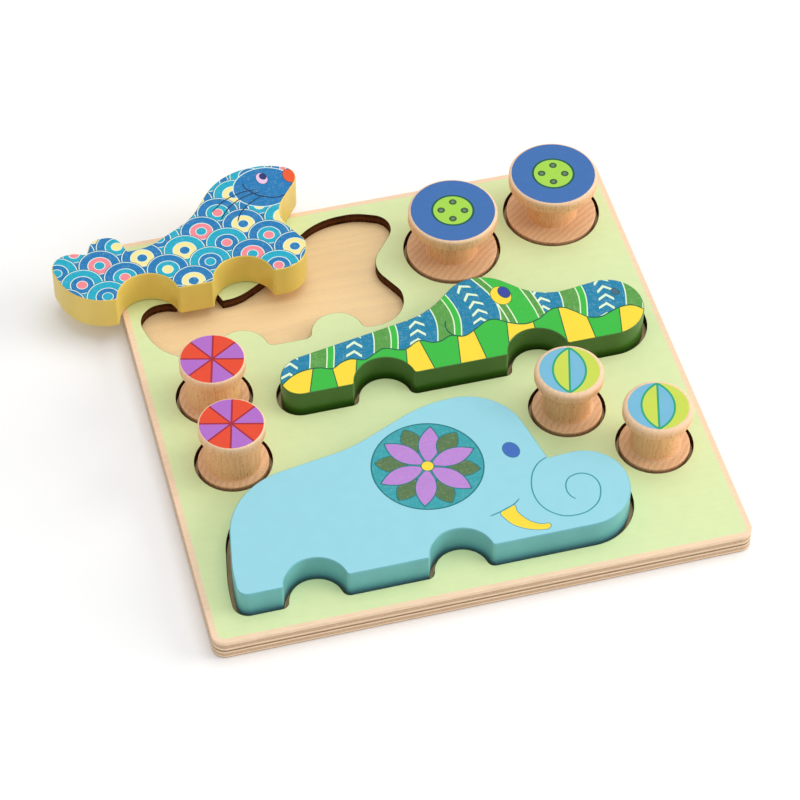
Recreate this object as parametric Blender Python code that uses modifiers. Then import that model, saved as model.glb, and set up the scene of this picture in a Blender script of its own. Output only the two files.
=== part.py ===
"""Inset puzzle: a plywood tray with three arched animals and six turned spools.

The tray is a pierced sheet glued on a plain one, so its recesses have flat floors. Each spool stands in a round
recess. Each animal has a recess of its own outline, and the arches in its belly also go over the spools' cores,
between foot and head, so that the spools serve as its wheels.
The seal has been taken out and lies across the tray's back left corner.

Metres, +Z up, -Y to the front. The origin is the centre of the tray's underside.
"""

import math

import bpy

# Tray
BACKING_SHEET = 0.0045  # thickness of the plain lower sheet
TRAY_SHEET = 0.0055  # thickness of the pierced upper sheet, which is the depth of the recesses
GLUE_GAP = 0.0003  # the line between the two sheets
TRAY_CORNER_RADIUS = 0.006
EDGE_WEB = 0.0071  # least wood between a recess and the tray's edge
REST_GAP = 0.0003  # under every piece that can be lifted off

# Animals
ANIMAL_THICKNESS = 0.018
ANIMAL_EDGE = 0.0006  # rounding of the sawn edges
ANIMAL_PLAY = 0.002  # round an animal in its recess
SAW_RADIUS = 0.0003  # least radius in a recess's inward corners

# Spools: a foot that stands in the recess and a head that is a little narrower, on a core
SPOOL_FLANGE = 0.0063  # thickness of the foot and of the head
WAIST_PLAY = 0.0014  # an animal's arch goes over the core, between the foot and the head
SPOOL_PLAY = 0.0015  # round a foot in its recess
FOOT_LIP = 0.0006  # rounding of a foot's upper rim

LARGE_FOOT_RADIUS = 0.0221  # the two button spools
LARGE_HEAD_RADIUS = 0.0217
LARGE_CORE_RADIUS = 0.0123
LARGE_RIM = 0.0013  # rounding of the head's upper rim and the foot's lower one
LARGE_BEAD = 0.0008  # rounding of the head's lower rim
LARGE_FILLET = 0.0006  # at the core's two ends

SMALL_FOOT_RADIUS = 0.0165  # the four small spools
PINWHEEL_HEAD_RADIUS = 0.0155
PINWHEEL_CORE_RADIUS = 0.0129
PINWHEEL_RIM = 0.0012
PINWHEEL_BEAD = 0.0013
PINWHEEL_FILLET = 0.0011
LENS_HEAD_RADIUS = 0.0162
LENS_CORE_RADIUS = 0.0113
LENS_RIM = 0.0021
LENS_BEAD = 0.0016
LENS_FILLET = 0.0017

# Arches, which take the thickest of the cores
ARCH_PLAY = 0.0014
ARCH_LEAN = math.radians(12)  # of its side walls
ARCH_CROWN_FLAT = 0.0005
ARCH_WALL_FLAT = 0.0004
FOOT_ROUNDING = 0.0016

# Distance between an animal's two arches
ELEPHANT_ARCH_PITCH = 0.0668
CROCODILE_ARCH_PITCH = 0.0745
SEAL_ARCH_PITCH = 0.0466

# Places of the animals: the middle of the base line, between the arches
ELEPHANT_PLACE = (-0.0421, -0.1106)
CROCODILE_PLACE = (0.0210, -0.0027)
SEAL_RECESS_PLACE = (-0.0511, 0.0439)
SEAL_PLACE = (-0.0898, 0.0724)  # on the tray's top

# Pairs of spools: the middle of the pair, the heading of its line and the wood left between its recesses
BUTTON_PAIR = (0.0667, 0.0883)
BUTTON_HEADING = math.radians(12.7)
BUTTON_WEB = 0.0084
PINWHEEL_PAIR = (-0.0937, -0.0036)
PINWHEEL_HEADING = math.radians(90)
PINWHEEL_WEB = 0.0048
LENS_PAIR = (0.0808, -0.0465)
LENS_HEADING = math.radians(136.6)
LENS_WEB = 0.0093

# Facets
OUTLINE_STEP = math.radians(12)
PROFILE_STEP = math.radians(45)
SPOOL_STEPS = 30
ARC_SHARE = 0.98  # most of an edge that the arcs at its two ends may take

# Corners of each animal above its base line, counter-clockwise from the front foot: x, y, rounding
ELEPHANT_CORNERS = [
    (0.1180, 0.0, 0.024),  # trunk
    (0.1180, 0.0446, 0.021),
    (0.0857, 0.0430, 0.0006),  # crease between trunk and forehead
    (0.0758, 0.0887, 0.028),  # forehead
    (0.0398, 0.0887, 0.060),  # nape
    (0.0002, 0.0709, 0.070),  # hollow of the back
    (-0.0599, 0.0611, 0.037),  # rump
    (-0.0679, 0.0156, 0.080),
    (-0.0683, 0.0, 0.005),  # hind foot
]
CROCODILE_CORNERS = [
    (0.0943, 0.0, 0.0195),  # jaw
    (0.0945, 0.0380, 0.018),  # nose
    (0.0483, 0.0320, 0.028),  # hollow of the snout
    (0.0202, 0.0590, 0.0199),  # brow
    (-0.0080, 0.0350, 0.044),  # neck
    (-0.0846, 0.0212, 0.0145),  # tail
    (-0.0848, 0.0, 0.0092),
]
SEAL_CORNERS = [
    (0.0572, 0.0, 0.015),  # front flipper
    (0.0574, 0.0168, 0.009),
    (0.0466, 0.0372, 0.0165),  # throat
    (0.0632, 0.0580, 0.0085),  # muzzle
    (0.0630, 0.0660, 0.0075),  # nose
    (0.0500, 0.0714, 0.024),  # forehead
    (0.0262, 0.0710, 0.032),
    (0.0070, 0.0438, 0.036),  # nape
    (-0.0173, 0.0299, 0.026),  # back
    (-0.0270, 0.0299, 0.0008),  # crease before the tail
    (-0.0307, 0.0412, 0.0075),  # tail, upper lobe
    (-0.0428, 0.0418, 0.0065),
    (-0.0466, 0.0326, 0.0008),  # crease between the lobes
    (-0.0527, 0.0348, 0.008),  # tail, lower lobe
    (-0.0671, 0.0348, 0.0089),
    (-0.0583, 0.0, 0.024),
]

SPOOL_HEIGHT = ANIMAL_THICKNESS + WAIST_PLAY + 2 * SPOOL_FLANGE
RECESS_FLOOR = BACKING_SHEET + REST_GAP
TRAY_TOP = BACKING_SHEET + GLUE_GAP + TRAY_SHEET
ARCH_RADIUS = max(LARGE_CORE_RADIUS, PINWHEEL_CORE_RADIUS, LENS_CORE_RADIUS) + ARCH_PLAY
LARGE_RECESS_RADIUS = LARGE_FOOT_RADIUS + SPOOL_PLAY
SMALL_RECESS_RADIUS = SMALL_FOOT_RADIUS + SPOOL_PLAY


def turn_at(before, corner, after):
    """Cross product of the two edges at a corner: above zero where the path turns left."""
    first = (corner[0] - before[0], corner[1] - before[1])
    second = (after[0] - corner[0], after[1] - corner[1])
    return first[0] * second[1] - first[1] * second[0]


def neighbours(corners):
    """Each corner of a closed path with the ones before and after it."""
    following = corners[1:] + corners[:1]
    return zip(corners[-1:] + corners[:-1], corners, following)


def towards(start, end):
    """The direction from one point to another, as a unit vector."""
    length = math.hypot(end[0] - start[0], end[1] - start[1])
    return (end[0] - start[0]) / length, (end[1] - start[1]) / length


def half_angles(corners):
    """Half the angle between the two edges at each corner of a closed path."""
    halves = []
    for before, corner, after in neighbours(corners):
        back = towards(corner, before)
        on = towards(corner, after)
        halves.append(math.acos(back[0] * on[0] + back[1] * on[1]) / 2)
    return halves


def arc_reaches(corners, halves):
    """How far each corner's arc runs along its edges, less where two arcs would meet on an edge."""
    asked = [corner[2] / math.tan(half) for corner, half in zip(corners, halves)]
    reaches = list(asked)
    for i, corner in enumerate(corners):
        total = asked[i - 1] + asked[i]
        room = ARC_SHARE * math.dist(corners[i - 1][:2], corner[:2])
        if total > room:
            reaches[i - 1] = min(reaches[i - 1], asked[i - 1] * room / total)
            reaches[i] = min(reaches[i], asked[i] * room / total)
    return reaches


def round_corners(corners, step):
    """The points of a closed path through the corners, each with an arc of its own radius."""
    halves = half_angles(corners)
    reaches = arc_reaches(corners, halves)
    points = []
    for (before, corner, after), half, reach in zip(neighbours(corners), halves, reaches):
        x, y = corner[:2]
        if reach == 0:
            points.append((x, y))
            continue
        back = towards(corner, before)
        side = math.copysign(1, turn_at(before, corner, after))
        radius = reach * math.tan(half)
        start = (x + back[0] * reach, y + back[1] * reach)
        centre = (start[0] + side * back[1] * radius, start[1] - side * back[0] * radius)
        first_angle = math.atan2(start[1] - centre[1], start[0] - centre[0])
        sweep = math.pi - 2 * half
        arcs = max(1, math.ceil(sweep / step - 0.001))
        for i in range(arcs + 1):
            angle = first_angle + side * sweep * i / arcs
            points.append((centre[0] + radius * math.cos(angle), centre[1] + radius * math.sin(angle)))
    return points


def grow(corners, distance):
    """The corners of the path that runs the same distance outside a counter-clockwise one."""
    grown = []
    for before, corner, after in neighbours(corners):
        x, y, radius = corner
        arriving = towards(before, corner)
        leaving = towards(corner, after)
        spread = 1 + arriving[0] * leaving[0] + arriving[1] * leaving[1]
        x += distance * (arriving[1] + leaving[1]) / spread
        y -= distance * (arriving[0] + leaving[0]) / spread
        if turn_at(before, corner, after) > 0:
            radius += distance
        else:
            radius = max(radius - distance, SAW_RADIUS)
        grown.append((x, y, radius))
    return grown


def arch_corners(x):
    """The corners of one arch in the base line, which turns over a spool's core."""
    tangent = math.tan((math.pi / 2 - ARCH_LEAN) / 2)
    crown = ARCH_RADIUS * tangent + ARCH_CROWN_FLAT / 2
    wall = (ARCH_RADIUS + FOOT_ROUNDING) * tangent + ARCH_WALL_FLAT
    height = wall * math.cos(ARCH_LEAN)
    foot = crown + wall * math.sin(ARCH_LEAN)
    return [
        (x - foot, 0.0, FOOT_ROUNDING),
        (x - crown, height, ARCH_RADIUS),
        (x + crown, height, ARCH_RADIUS),
        (x + foot, 0.0, FOOT_ROUNDING),
    ]


def animal_corners(body, arch_pitch):
    """An animal's whole outline: its body, then the two arches from the hind foot to the front one."""
    return body + arch_corners(-arch_pitch / 2) + arch_corners(arch_pitch / 2)


def moved(points, place):
    """The points of an outline at its place on the tray."""
    return [(x + place[0], y + place[1]) for x, y in points]


def ring(radius):
    """The points of a circle."""
    count = round(2 * math.pi / OUTLINE_STEP)
    angles = [2 * math.pi * i / count for i in range(count)]
    return [(radius * math.cos(angle), radius * math.sin(angle)) for angle in angles]


def pair_places(middle, heading, recess_radius, web):
    """Where the two spools of a pair stand, the one that the heading points to first."""
    reach = recess_radius + web / 2
    across = (reach * math.cos(heading), reach * math.sin(heading))
    return (
        (middle[0] + across[0], middle[1] + across[1]),
        (middle[0] - across[0], middle[1] - across[1]),
    )


def material(name, red, green, blue, roughness):
    """A finish of its own for one part, from a screen colour of 0 to 255."""
    finish = bpy.data.materials.new(name)
    finish.use_nodes = True
    linear = [(channel / 255) ** 2.2 for channel in (red, green, blue)]
    shader = finish.node_tree.nodes["Principled BSDF"]
    shader.inputs["Base Color"].default_value = (*linear, 1.0)
    shader.inputs["Roughness"].default_value = roughness
    shader.inputs["Metallic"].default_value = 0.0
    finish.diffuse_color = (*linear, 1.0)
    return finish


def place_part(collection, name, data, place, bottom, finish):
    """Put a piece's data in the scene as a part that rests at the given height."""
    part = bpy.data.objects.new(name, data)
    part.location = (place[0], place[1], bottom)
    data.materials.append(finish)
    collection.objects.link(part)
    return part


def plate(collection, name, outlines, place, bottom, thickness, edge, finish):
    """A flat piece of the first outline, pierced by any others, with its edges rounded."""
    curve = bpy.data.curves.new(name, "CURVE")
    curve.dimensions = "2D"
    curve.fill_mode = "BOTH"
    curve.extrude = thickness / 2 - edge
    curve.bevel_depth = edge
    curve.bevel_resolution = 1
    curve.offset = -edge
    for outline in outlines:
        spline = curve.splines.new("POLY")
        spline.points.add(len(outline) - 1)
        for point, (x, y) in zip(spline.points, outline):
            point.co = (x, y, 0.0, 1.0)
        spline.use_cyclic_u = True
    return place_part(collection, name, curve, place, bottom + thickness / 2, finish)


def tray(collection, openings):
    """The two glued sheets, just large enough to leave the edge web round the outermost recess."""
    reach = max(max(abs(x), abs(y)) for opening in openings for x, y in opening)
    half = reach + EDGE_WEB
    square = [(half, -half), (half, half), (-half, half), (-half, -half)]
    outline = round_corners([(x, y, TRAY_CORNER_RADIUS) for x, y in square], OUTLINE_STEP)
    birch = material("birch_plywood", 236, 208, 170, 0.6)
    green = material("pale_green_print", 218, 236, 178, 0.55)
    plate(collection, "backing_board", [outline], (0, 0), 0.0, BACKING_SHEET, 0.0, birch)
    plate(collection, "tray_board", [outline, *openings], (0, 0), BACKING_SHEET + GLUE_GAP, TRAY_SHEET, 0.0, green)


def animal(collection, name, corners, place, bottom, finish):
    """One thick sawn animal."""
    outline = round_corners(corners, OUTLINE_STEP)
    plate(collection, name, [outline], place, bottom, ANIMAL_THICKNESS, ANIMAL_EDGE, finish)


def spool(collection, name, place, foot_radius, head_radius, core_radius, rim, bead, fillet, finish):
    """One turned spool: a foot and a head with rounded rims on a straight core."""
    upper = SPOOL_HEIGHT - SPOOL_FLANGE
    corners = [
        (0.0, SPOOL_HEIGHT, 0.0),
        (head_radius, SPOOL_HEIGHT, rim),
        (head_radius, upper, bead),
        (core_radius, upper, fillet),
        (core_radius, SPOOL_FLANGE, fillet),
        (foot_radius, SPOOL_FLANGE, FOOT_LIP),
        (foot_radius, 0.0, rim),
        (0.0, 0.0, 0.0),
    ]
    profile = round_corners(corners, PROFILE_STEP)
    mesh = bpy.data.meshes.new(name)
    edges = [(i, i + 1) for i in range(len(profile) - 1)]
    mesh.from_pydata([(radius, 0.0, height) for radius, height in profile], edges, [])
    part = place_part(collection, name, mesh, place, RECESS_FLOOR, finish)
    turned = part.modifiers.new("Turned", "SCREW")
    turned.axis = "Z"
    turned.steps = SPOOL_STEPS
    turned.render_steps = SPOOL_STEPS
    turned.use_merge_vertices = True
    turned.merge_threshold = 0.00001
    turned.use_smooth_shade = True


def main():
    for old in list(bpy.data.objects):
        bpy.data.objects.remove(old)
    collection = bpy.data.collections.new("inset_puzzle")
    bpy.context.scene.collection.children.link(collection)

    elephant = animal_corners(ELEPHANT_CORNERS, ELEPHANT_ARCH_PITCH)
    crocodile = animal_corners(CROCODILE_CORNERS, CROCODILE_ARCH_PITCH)
    seal = animal_corners(SEAL_CORNERS, SEAL_ARCH_PITCH)
    buttons = pair_places(BUTTON_PAIR, BUTTON_HEADING, LARGE_RECESS_RADIUS, BUTTON_WEB)
    pinwheels = pair_places(PINWHEEL_PAIR, PINWHEEL_HEADING, SMALL_RECESS_RADIUS, PINWHEEL_WEB)
    lenses = pair_places(LENS_PAIR, LENS_HEADING, SMALL_RECESS_RADIUS, LENS_WEB)

    openings = []
    for corners, place in ((elephant, ELEPHANT_PLACE), (crocodile, CROCODILE_PLACE), (seal, SEAL_RECESS_PLACE)):
        openings.append(moved(round_corners(grow(corners, ANIMAL_PLAY), OUTLINE_STEP), place))
    openings += [moved(ring(LARGE_RECESS_RADIUS), place) for place in buttons]
    openings += [moved(ring(SMALL_RECESS_RADIUS), place) for place in pinwheels + lenses]
    tray(collection, openings)

    sky = material("light_blue_lacquer", 155, 220, 232, 0.45)
    leaf = material("leaf_green_lacquer", 95, 165, 75, 0.45)
    sea = material("sea_blue_print", 45, 140, 200, 0.45)
    animal(collection, "elephant", elephant, ELEPHANT_PLACE, RECESS_FLOOR, sky)
    animal(collection, "crocodile", crocodile, CROCODILE_PLACE, RECESS_FLOOR, leaf)
    animal(collection, "seal", seal, SEAL_PLACE, TRAY_TOP + REST_GAP, sea)

    button = (LARGE_FOOT_RADIUS, LARGE_HEAD_RADIUS, LARGE_CORE_RADIUS, LARGE_RIM, LARGE_BEAD, LARGE_FILLET)
    pinwheel = (
        SMALL_FOOT_RADIUS,
        PINWHEEL_HEAD_RADIUS,
        PINWHEEL_CORE_RADIUS,
        PINWHEEL_RIM,
        PINWHEEL_BEAD,
        PINWHEEL_FILLET,
    )
    lens = (SMALL_FOOT_RADIUS, LENS_HEAD_RADIUS, LENS_CORE_RADIUS, LENS_RIM, LENS_BEAD, LENS_FILLET)
    spools = {
        "button_spool_right": (buttons[0], button),
        "button_spool_left": (buttons[1], button),
        "pinwheel_spool_back": (pinwheels[0], pinwheel),
        "pinwheel_spool_front": (pinwheels[1], pinwheel),
        "lens_spool_back": (lenses[0], lens),
        "lens_spool_front": (lenses[1], lens),
    }
    for name, (place, sizes) in spools.items():
        beech = material(name + "_beech", 225, 180, 135, 0.55)
        spool(collection, name, place, *sizes, beech)


main()
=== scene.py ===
"""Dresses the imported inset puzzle: a plywood tray, three sawn and printed animals, and six turned spools.

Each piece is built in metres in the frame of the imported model, takes the place of the CAD node that it
stands for and rides on that node's body. The file is laid out as an add-on with one operator for each kind
of piece.
"""

import math
from collections import namedtuple

import bmesh
import bpy
from bpy.props import FloatProperty, FloatVectorProperty, IntProperty, PointerProperty
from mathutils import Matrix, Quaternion, Vector
from mathutils.geometry import delaunay_2d_cdt


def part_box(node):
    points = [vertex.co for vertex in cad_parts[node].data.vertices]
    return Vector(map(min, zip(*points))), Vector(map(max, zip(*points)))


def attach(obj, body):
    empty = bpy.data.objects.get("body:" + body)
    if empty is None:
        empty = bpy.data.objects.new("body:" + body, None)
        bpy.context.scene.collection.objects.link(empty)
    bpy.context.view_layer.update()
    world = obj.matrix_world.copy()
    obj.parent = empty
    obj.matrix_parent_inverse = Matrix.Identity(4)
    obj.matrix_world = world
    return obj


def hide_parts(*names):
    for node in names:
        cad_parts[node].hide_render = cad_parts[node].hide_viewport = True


bl_info = {
    "name": "Inset Puzzle",
    "version": (1, 0, 0),
    "blender": (4, 5, 0),
    "location": "3D View > Sidebar > Inset Puzzle",
    "description": "Builds the pieces of a plywood inset puzzle with arched animals and turned spools",
    "category": "Object",
}

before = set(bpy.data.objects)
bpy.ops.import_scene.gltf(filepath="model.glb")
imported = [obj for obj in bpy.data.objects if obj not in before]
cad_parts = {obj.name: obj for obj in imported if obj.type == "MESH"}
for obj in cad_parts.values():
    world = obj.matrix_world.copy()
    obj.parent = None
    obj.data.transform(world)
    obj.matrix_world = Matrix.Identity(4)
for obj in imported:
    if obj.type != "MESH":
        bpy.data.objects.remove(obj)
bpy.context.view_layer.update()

# Lowest and highest corners of the two sheets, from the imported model
TRAY_LOW, TRAY_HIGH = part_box("tray_board")
BACKING_LOW, BACKING_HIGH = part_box("backing_board")

# The middle of each animal's base line, between its arches. The seal lies away from its recess.
ANIMAL_PLACES = {
    "elephant": (-0.0421, -0.1106),
    "crocodile": (0.0210, -0.0027),
    "seal": (-0.0898, 0.0724),
}
SEAL_RECESS_PLACE = (-0.0511, 0.0439)

# The arches, which go over a spool's core
ARCH_PITCHES = {"elephant": 0.0668, "crocodile": 0.0745, "seal": 0.0466}
ARCH_RADIUS = 0.0143
ARCH_LEAN = math.radians(12)
ARCH_CROWN_FLAT = 0.0005
ARCH_WALL_FLAT = 0.0004
FOOT_ROUNDING = 0.0016

ANIMAL_PLAY = 0.002
SPOOL_PLAY = 0.0015
TRAY_CORNER_RADIUS = 0.006
SAW_RADIUS = 0.0003

# Radius of a spool's foot, head and core, rounding of its outer rims and of the head's lower one, fillet
# beside the core, and radius of the print
SpoolSizes = namedtuple("SpoolSizes", "foot head core rim bead fillet picture")
SPOOL_SIZES = {
    "button": SpoolSizes(0.0221, 0.0217, 0.0123, 0.0013, 0.0009, 0.0007, picture=0.0204),
    "pinwheel": SpoolSizes(0.0165, 0.0155, 0.0129, 0.0008, 0.0014, 0.0012, picture=0.0147),
    "lens": SpoolSizes(0.0165, 0.0162, 0.0113, 0.0022, 0.0017, 0.0018, picture=0.0140),
}
SPOOLS = {
    "button": ("button_spool_right", "button_spool_left"),
    "pinwheel": ("pinwheel_spool_back", "pinwheel_spool_front"),
    "lens": ("lens_spool_back", "lens_spool_front"),
}
FOOT_LIP = 0.0006
SPOOL_FLANGE = 0.0063

# How finely round shapes are cut
ARC_SHARE = 0.98
ARC_TOLERANCE = 0.000012
FINE_STEP = math.radians(9)
SHARP_EDGE = math.radians(40)
MEETING_POINTS = 0.000001

# How much of an animal's rounded edge its print leaves free, and how far the rim of a film goes down
PRINT_INSET = 0.75
FILM_SKIRT = 1.2

# Corners of each animal above its base line, counter-clockwise from the front foot: x, y, rounding
BODY_CORNERS = {
    "elephant": [
        (0.1180, 0.0, 0.024),
        (0.1180, 0.0446, 0.021),
        (0.0857, 0.0430, 0.0006),
        (0.0758, 0.0887, 0.028),
        (0.0398, 0.0887, 0.060),
        (0.0002, 0.0709, 0.070),
        (-0.0599, 0.0611, 0.037),
        (-0.0679, 0.0156, 0.080),
        (-0.0683, 0.0, 0.005),
    ],
    "crocodile": [
        (0.0943, 0.0, 0.0195),
        (0.0945, 0.0380, 0.018),
        (0.0483, 0.0320, 0.028),
        (0.0202, 0.0590, 0.0199),
        (-0.0080, 0.0350, 0.044),
        (-0.0846, 0.0212, 0.0145),
        (-0.0848, 0.0, 0.0092),
    ],
    "seal": [
        (0.0572, 0.0, 0.015),
        (0.0574, 0.0168, 0.009),
        (0.0466, 0.0372, 0.0165),
        (0.0632, 0.0580, 0.0085),
        (0.0630, 0.0660, 0.0075),
        (0.0500, 0.0714, 0.024),
        (0.0262, 0.0710, 0.032),
        (0.0070, 0.0438, 0.036),
        (-0.0173, 0.0299, 0.026),
        (-0.0270, 0.0299, 0.0008),
        (-0.0307, 0.0412, 0.0075),
        (-0.0428, 0.0418, 0.0065),
        (-0.0466, 0.0326, 0.0008),
        (-0.0527, 0.0348, 0.008),
        (-0.0671, 0.0348, 0.0089),
        (-0.0583, 0.0, 0.024),
    ],
}

# Artwork, in millimetres on the tray. The ground is larger than any animal, and starts from its base line.
GROUND = [(-110.0, -40.0), (150.0, -40.0), (150.0, 120.0), (-110.0, 120.0)]
ELEPHANT_EAR = (-10.8, -59.1)
ELEPHANT_EYE = (28.6, -59.3)
ELEPHANT_MOUTH = [(8.7, -94.4), (13.9, -93.1), (20.6, -90.6), (24.4, -87.8)]
ELEPHANT_TUSK = [
    (21.1, -90.7), (21.7, -95.0), (25.0, -100.6), (29.4, -103.9), (33.2, -104.5), (34.0, -106.2),
    (31.7, -108.1), (25.0, -106.7), (18.3, -102.8), (14.6, -97.4), (13.9, -93.2),
]
ELEPHANT_TRUNK = [
    (43.3, -67.4), (38.3, -70.0), (33.9, -75.6), (31.4, -83.9), (31.9, -91.7), (35.0, -97.8),
    (40.6, -102.2), (46.7, -103.3), (52.8, -102.2), (58.3, -98.3), (61.1, -92.8), (61.7, -87.8),
    (60.0, -83.3), (56.7, -80.9), (53.3, -80.4), (49.4, -81.7), (47.0, -85.0), (46.4, -88.9),
    (47.3, -92.2), (49.0, -94.2),
]
CROCODILE_EYE = (50.6, 34.7)
CROCODILE_NOSTRIL = (104.2, 23.6)
CROCODILE_BANDS = 7
FIRST_BAND = -86.0
BAND_PITCH = 31.0
CROCODILE_MOUTH_CORNER = [(20.6, 25.5), (19.7, 21.5), (20.6, 17.5), (23.5, 14.7), (27.0, 13.7)]
CROCODILE_BELLY_EDGE = [
    (-66.0, 1.5), (-62.0, 6.0), (-56.0, 9.8), (-50.0, 11.2), (-44.0, 10.8), (-38.5, 8.9), (-33.5, 11.6),
    (-28.5, 12.6), (-22.5, 10.6), (-16.5, 13.4), (-11.5, 15.2), (-3.0, 12.1), (5.0, 15.9), (11.0, 13.3),
    (15.5, 13.2), (20.5, 15.3), (27.0, 13.6), (33.5, 16.7), (39.0, 20.0), (44.0, 20.1), (50.0, 16.2),
    (57.0, 13.8), (64.0, 15.4), (71.0, 19.6), (77.0, 19.6), (82.0, 15.6), (87.0, 10.6), (93.0, 9.4),
    (99.0, 11.6), (105.0, 13.3), (111.0, 12.0), (118.0, 4.0),
]
# Where the belly's stripes part, from the tail: x at the base line and x at the stripes' height above it
CROCODILE_STRIPES = [
    (-52.2, -45.5), (-38.7, -38.3), (-30.5, -24.5), (-5.0, -1.2), (8.0, 5.5), (20.5, 24.0),
    (33.2, 32.0), (44.5, 48.5), (59.5, 61.0), (72.8, 74.5), (86.6, 86.4), (99.5, 103.8),
]
STRIPE_HEIGHT = 20.0
STRIPE_STEP = STRIPE_HEIGHT / 26
SEAL_CHEEK = (-43.5, 128.5)
SEAL_EYE = (-43.3, 134.6)
SEAL_PUPIL = (-42.5, 135.8)
SEAL_NOSE = (-29.6, 133.1)
SEAL_MOUTH = [
    (-53.3, 133.3), (-52.5, 129.6), (-48.3, 124.2), (-43.3, 121.3),
    (-39.2, 120.2), (-35.0, 120.8), (-31.7, 122.9), (-30.0, 127.9),
]
SEAL_WHISKERS = [
    [(-47.1, 127.7), (-55.0, 127.5), (-64.2, 124.2), (-72.5, 117.5)],
    [(-46.3, 125.7), (-55.0, 124.2), (-63.3, 118.8), (-69.2, 111.3)],
    [(-44.6, 123.2), (-51.7, 120.0), (-58.3, 114.2), (-61.3, 108.3)],
]
SEAL_FIRST_WAVE = (-163.0, 148.0)
SEAL_WAVE_ROWS = 11
SEAL_WAVE_COLUMNS = 10
# Inks of the kinds of wave: outer ring, inner ring and middle
SEAL_WAVES = (
    ("blue", "teal", "yellow"),
    ("teal", "blue", "pink"),
    ("blue", "yellow", "blue"),
    ("teal", "blue", "teal"),
    ("blue", "teal", "pink"),
    ("teal", "yellow", "blue"),
    ("blue", "pink", "teal"),
)
BUTTON_HEADING = math.radians(-15)
PINWHEEL_HEADING = math.radians(76)
LENS_HEADING = math.radians(74.3)
# Farther from a spool's middle than any print reaches
BEYOND = 30.0

# Inks of each picture: the setting of the colour, how far the weave shows, and any gloss of its own
INKS = {
    "elephant": {
        "blue": ("body", 0.05, 0.42),
        "line": ("line", 0.1),
        "ear": ("ear", 0.75),
        "petal": ("petal", 0.5),
        "leaf": ("leaf", 0.8),
        "rim": ("rim", 0.2),
        "eye": ("eye", 0.15),
        "tusk": ("tusk", 0.08),
        "centre": ("tusk", 0.2),
    },
    "crocodile": {
        "blue": ("water", 0.95),
        "leaf": ("leaf", 0.95),
        "bright": ("bright", 0.3),
        "belly": ("bright", 0.05),
        "yellow": ("yellow", 0.05),
        "mint": ("mint", 0.3),
        "line": ("line", 0.2),
        "pupil": ("pupil", 0.1),
        "nostril": ("nostril", 0.2),
    },
    "seal": {
        "blue": ("blue", 0.9),
        "teal": ("teal", 0.7),
        "yellow": ("yellow", 0.12),
        "pink": ("pink", 0.2),
        "foam": ("foam", 0.35),
        "line": ("line", 0.1),
        "shade": ("shade", 0.2),
        "nose": ("nose", 0.1),
        "eye": ("eye", 0.1),
        "pupil": ("pupil", 0.1),
    },
    "button": {
        "blue": ("button", 0.1),
        "lime": ("button_middle", 0.05),
        "line": ("button_line", 0.05),
        "hole": ("button_hole", 0.05),
        "thread": ("button_thread", 0.05),
    },
    "pinwheel": {"red": ("red", 0.1), "purple": ("purple", 0.1), "line": ("spoke", 0.1)},
    "lens": {"sky": ("sky", 0.08), "lime": ("lime", 0.08), "line": ("lens_line", 0.05)},
}

# The pith of the beech that the spools are turned from, and the heights between which a painted highlight
# grows on their upper rims
BEECH_PITH = (0.34, -0.28, 0.0)
RIM_HIGHLIGHT_FROM = TRAY_HIGH.z + 0.0225
RIM_HIGHLIGHT_TO = TRAY_HIGH.z + 0.0265

# The stage: where the camera points on the tray's top, and each lamp's size and direction
CAMERA_AIM = (-0.010, -0.006875, TRAY_HIGH.z)
CAMERA_ROLL = math.radians(0.45)
CAMERA_SENSOR = 36.0
LAMP_DISTANCE = 3.0
HIGH_LAMP = (2.8, (0.22, 0.12, 0.97))
LOW_LAMP = (2.0, (0.92, -0.16, 0.36))
FLOOR_REACH = 6.0
# The floor's glow: distances from the tray's middle between which it grows, and its strength at both
FLOOR_GLOW = (0.35, 1.2, 0.04, 0.5)
FLOOR_DROP = 0.0002
WHITE = (1.0, 1.0, 1.0, 1.0)


def screen(red, green, blue):
    """A screen colour of 0 to 255 as Blender's linear colour."""
    linear = []
    for channel in (red, green, blue):
        level = channel / 255
        linear.append(level / 12.92 if level <= 0.04045 else ((level + 0.055) / 1.055) ** 2.4)
    return (*linear, 1.0)


WOOD_FLECK = screen(196, 142, 88)
RINGS_IN_PRINT = screen(196, 216, 150)
# Dark of the glue joints between sheets, and painted contact shade at the foot of the sheet on the floor
JOINT_AND_CONTACT_SHADE = screen(120, 90, 64)
BLACK_CHAR = screen(40, 20, 10)
CHARRED_PLY = screen(112, 66, 36)


def number(name, description, default, **more):
    """A setting that is a number."""
    return FloatProperty(name=name, description=description, default=default, **more)


def length(name, description, default):
    """A setting that is a length in metres."""
    return number(name, description, default, unit="LENGTH", min=0.0, precision=5)


def angle(name, description, degrees):
    """A setting that is an angle."""
    return number(name, description, math.radians(degrees), subtype="ANGLE")


def power(name, description, default):
    """A setting that is a lamp's power."""
    return number(name, description, default, subtype="POWER", min=0.0)


def colour(name, description, red, green, blue):
    """A colour setting."""
    shown = {"subtype": "COLOR", "size": 4, "min": 0.0, "max": 1.0, "default": screen(red, green, blue)}
    return FloatVectorProperty(name=name, description=description, **shown)


class TraySettings(bpy.types.PropertyGroup):
    """Sizes and colours of the plywood tray."""

    edge: length("Edge", "Rounding of the sheets' edges", 0.0002)
    margin: length("Margin", "Bare wood left round the printed field", 0.0027)
    print_colour: colour("Print", "Printed field of the tray", 222, 237, 178)
    pale_ply: colour("Pale Ply", "Outer plies and bare margin", 252, 222, 188)
    dark_ply: colour("Middle Ply", "Middle ply, seen at the edge", 214, 182, 148)
    glue: colour("Glue Line", "Line between two plies", 168, 132, 100)
    floor: colour("Recess Floor", "Backing sheet where it shows in a recess", 255, 222, 168)
    scorch: colour("Scorch", "Laser-cut walls of the recesses", 88, 48, 22)


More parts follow.
